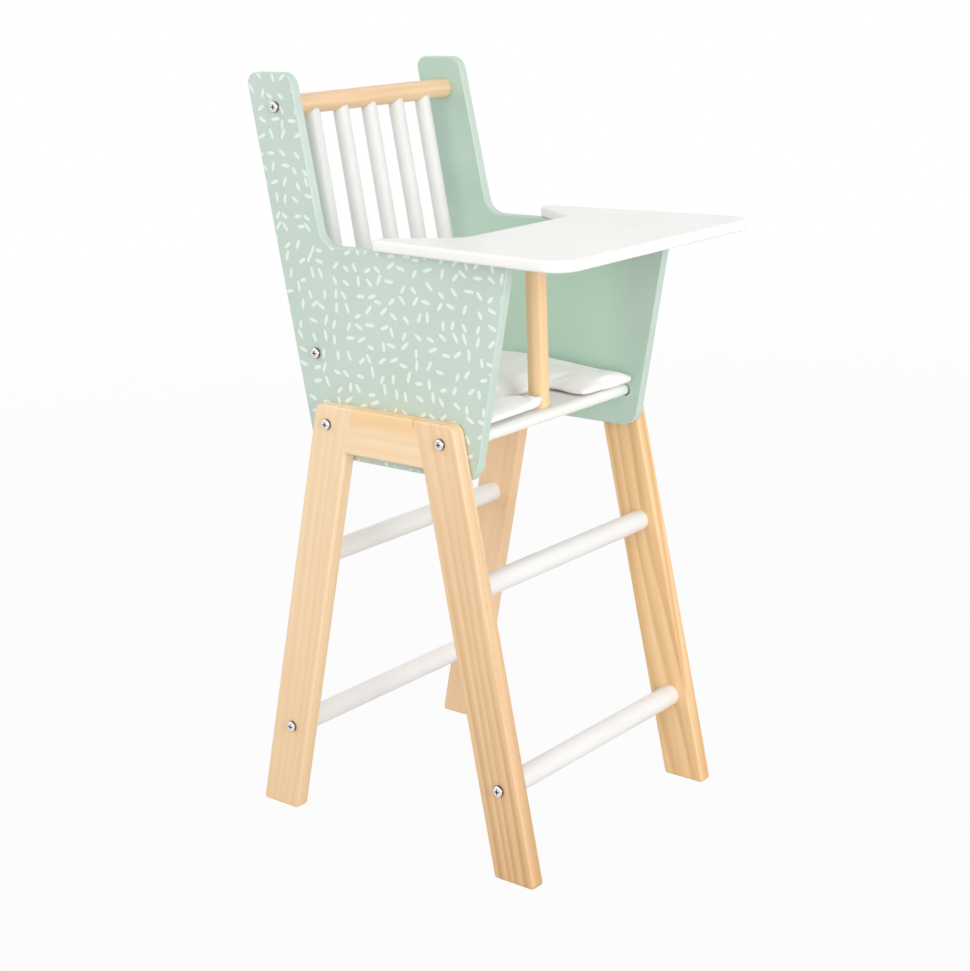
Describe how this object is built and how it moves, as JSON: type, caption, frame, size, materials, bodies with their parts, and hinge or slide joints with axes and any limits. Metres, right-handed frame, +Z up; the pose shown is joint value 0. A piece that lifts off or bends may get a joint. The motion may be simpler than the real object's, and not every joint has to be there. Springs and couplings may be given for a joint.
{
  "type": "doll high chair",
  "caption": "Wooden high chair for dolls: printed side panels on A-shaped leg frames, a spindle back, a loose seat cushion and a tray that lifts off with its post.",
  "frame": {"origin": "on the floor, under the middle of the chair's overall width and depth", "axes": "+Z up; the chair's front, with the tray, faces -Y; X runs across the chair, with the side called left at -X"},
  "size_m": [0.2444, 0.3104, 0.57],
  "materials": {
    "mint_panel": "satin mint paint with a pale printed grain pattern outside",
    "white_wood": "satin white paint",
    "pine": "clear matt lacquer",
    "beech": "clear matt lacquer",
    "screw_steel": "bright zinc plate",
    "cushion_cloth": "thin white cloth"
  },
  "bodies": {
    "chair": {"left_side_panel": "mint_panel", "right_side_panel": "mint_panel", "seat_board": "white_wood", "back_top_rail": "beech", "back_lower_rail": "beech", "back_spindle_1": "white_wood", "back_spindle_2": "white_wood", "back_spindle_3": "white_wood", "back_spindle_4": "white_wood", "back_spindle_5": "white_wood", "left_front_leg": "pine", "left_rear_leg": "pine", "left_leg_rail": "pine", "right_front_leg": "pine", "right_rear_leg": "pine", "right_leg_rail": "pine", "left_front_frame_dowel": "beech", "left_rear_frame_dowel": "beech", "right_front_frame_dowel": "beech", "right_rear_frame_dowel": "beech", "front_upper_rung": "white_wood", "rear_upper_rung": "white_wood", "front_lower_rung": "white_wood", "rear_lower_rung": "white_wood", "left_top_rail_screw": "screw_steel", "left_lower_rail_screw": "screw_steel", "left_front_seat_screw": "screw_steel", "left_rear_seat_screw": "screw_steel", "left_front_rung_screw": "screw_steel", "left_rear_rung_screw": "screw_steel", "right_top_rail_screw": "screw_steel", "right_lower_rail_screw": "screw_steel", "right_front_seat_screw": "screw_steel", "right_rear_seat_screw": "screw_steel", "right_front_rung_screw": "screw_steel", "right_rear_rung_screw": "screw_steel"},
    "tray": {"tray_board": "white_wood", "tray_post": "beech", "tray_left_peg": "beech", "tray_right_peg": "beech"},
    "cushion": {"seat_cushion": "cushion_cloth"}
  },
  "joints": [
    {"name": "tray_lift", "type": "slide", "parent": "chair", "child": "tray", "axis": [0, 0, 1], "range_m": [0, 0.27]},
    {"name": "cushion_lift", "type": "slide", "parent": "chair", "child": "cushion", "axis": [0, 0, 1], "range_m": [0, 0.1]}
  ]
}
